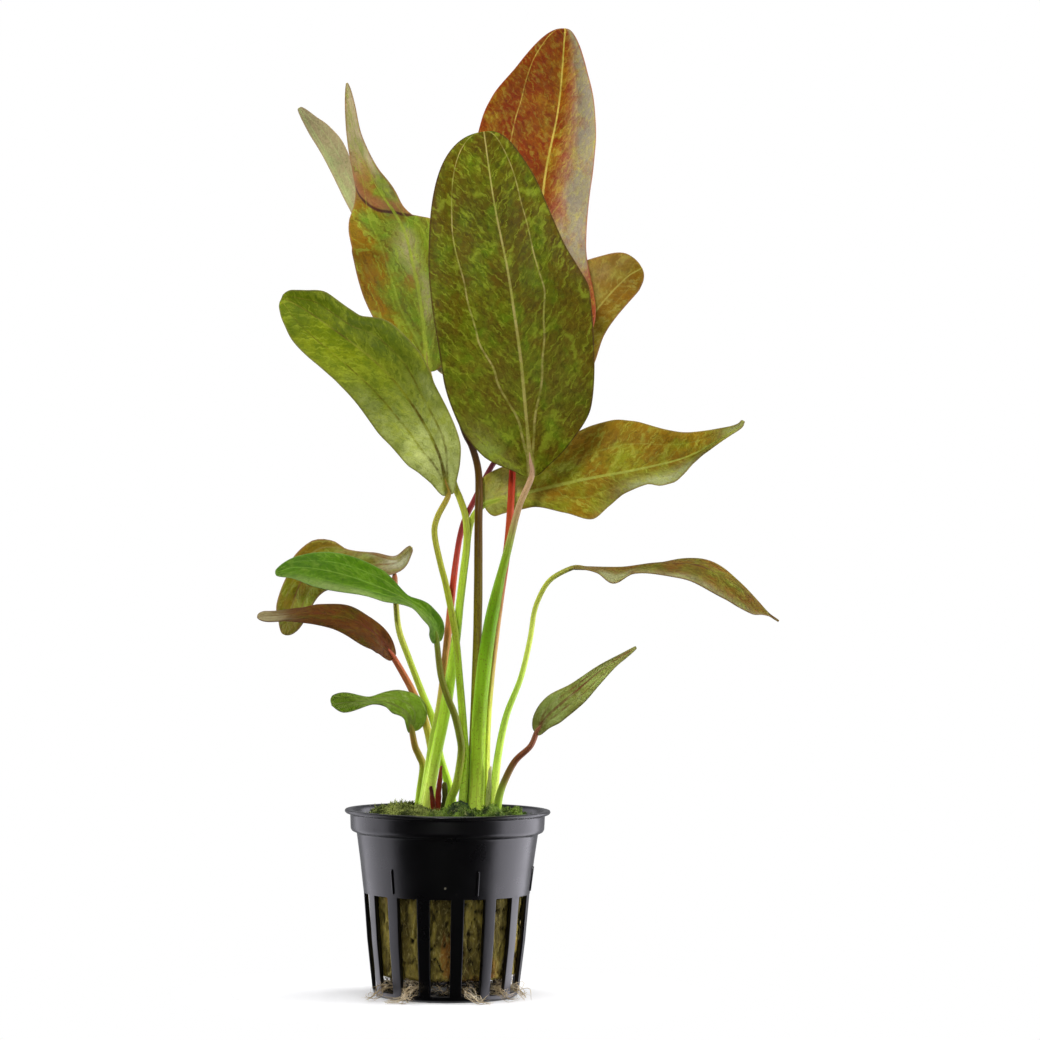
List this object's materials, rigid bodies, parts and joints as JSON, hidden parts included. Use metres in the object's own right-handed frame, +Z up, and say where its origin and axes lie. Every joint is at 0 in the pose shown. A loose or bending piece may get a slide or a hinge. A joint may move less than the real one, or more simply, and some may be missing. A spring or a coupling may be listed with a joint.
{
  "type": "potted aquarium plant",
  "caption": "Broad-leaved aquarium plant with long stalks and mottled green and red leaves, rooted in fibre and moss in a round black net pot that stands on its base.",
  "frame": {"origin": "middle of the pot's underside, on the solid middle of its floor", "axes": "+Z up, -Y is the front that the picture shows, +X is the picture's right"},
  "size_m": [0.138, 0.0721, 0.2611],
  "materials": {
    "pot_plastic": "satin black",
    "fibre_plug": "matt fibre",
    "moss": "matt moss",
    "moss_dark": "matt moss",
    "rootstock": "rough",
    "root": "matt",
    "stem_green": "smooth, slightly waxy",
    "stem_red": "smooth, slightly waxy",
    "stem_dark": "smooth, slightly waxy",
    "old_leaf_base": "dry",
    "pale_sheath": "dry",
    "blade_front": "semi-matt leaf",
    "blade_back_tall": "semi-matt leaf",
    "blade_back_right": "semi-matt leaf",
    "blade_upper_left": "semi-matt leaf",
    "blade_mid_left": "semi-matt leaf",
    "blade_far_left": "semi-matt leaf",
    "blade_right_wavy": "semi-matt leaf",
    "blade_low_left_green": "semi-matt leaf",
    "blade_low_left_red": "semi-matt leaf",
    "blade_low_left_back": "semi-matt leaf",
    "blade_lowest_left": "semi-matt leaf",
    "blade_low_right_long": "semi-matt leaf",
    "blade_low_right_small": "semi-matt leaf"
  },
  "bodies": {
    "root": {"pot": "pot_plastic", "rock_wool": "fibre_plug", "moss_bed": "moss", "moss_tuft": "moss_dark", "crown": "rootstock", "front_stem": "stem_green", "back_tall_stem": "stem_red", "back_right_stem": "stem_red", "upper_left_stem": "stem_green", "mid_left_stem": "stem_green", "far_left_stem": "stem_dark", "right_wavy_stem": "stem_green", "low_left_green_stem": "stem_green", "low_left_red_stem": "stem_green", "low_left_back_stem": "stem_green", "lowest_left_stem": "stem_green", "low_right_long_stem": "stem_green", "low_right_small_stem": "stem_green", "front_blade": "blade_front", "back_tall_blade": "blade_back_tall", "back_right_blade": "blade_back_right", "upper_left_blade": "blade_upper_left", "mid_left_blade": "blade_mid_left", "far_left_blade": "blade_far_left", "right_wavy_blade": "blade_right_wavy", "low_left_green_blade": "blade_low_left_green", "low_left_red_blade": "blade_low_left_red", "low_left_back_blade": "blade_low_left_back", "lowest_left_blade": "blade_lowest_left", "low_right_long_blade": "blade_low_right_long", "low_right_small_blade": "blade_low_right_small", "old_stub_red": "old_leaf_base", "old_stub_brown": "old_leaf_base", "old_stub_olive": "old_leaf_base", "pale_sheath": "pale_sheath", "root_left_a": "root", "root_left_b": "root", "root_left_c": "root", "root_front": "root", "root_right_a": "root", "root_right_b": "root"}
  },
  "joints": []
}
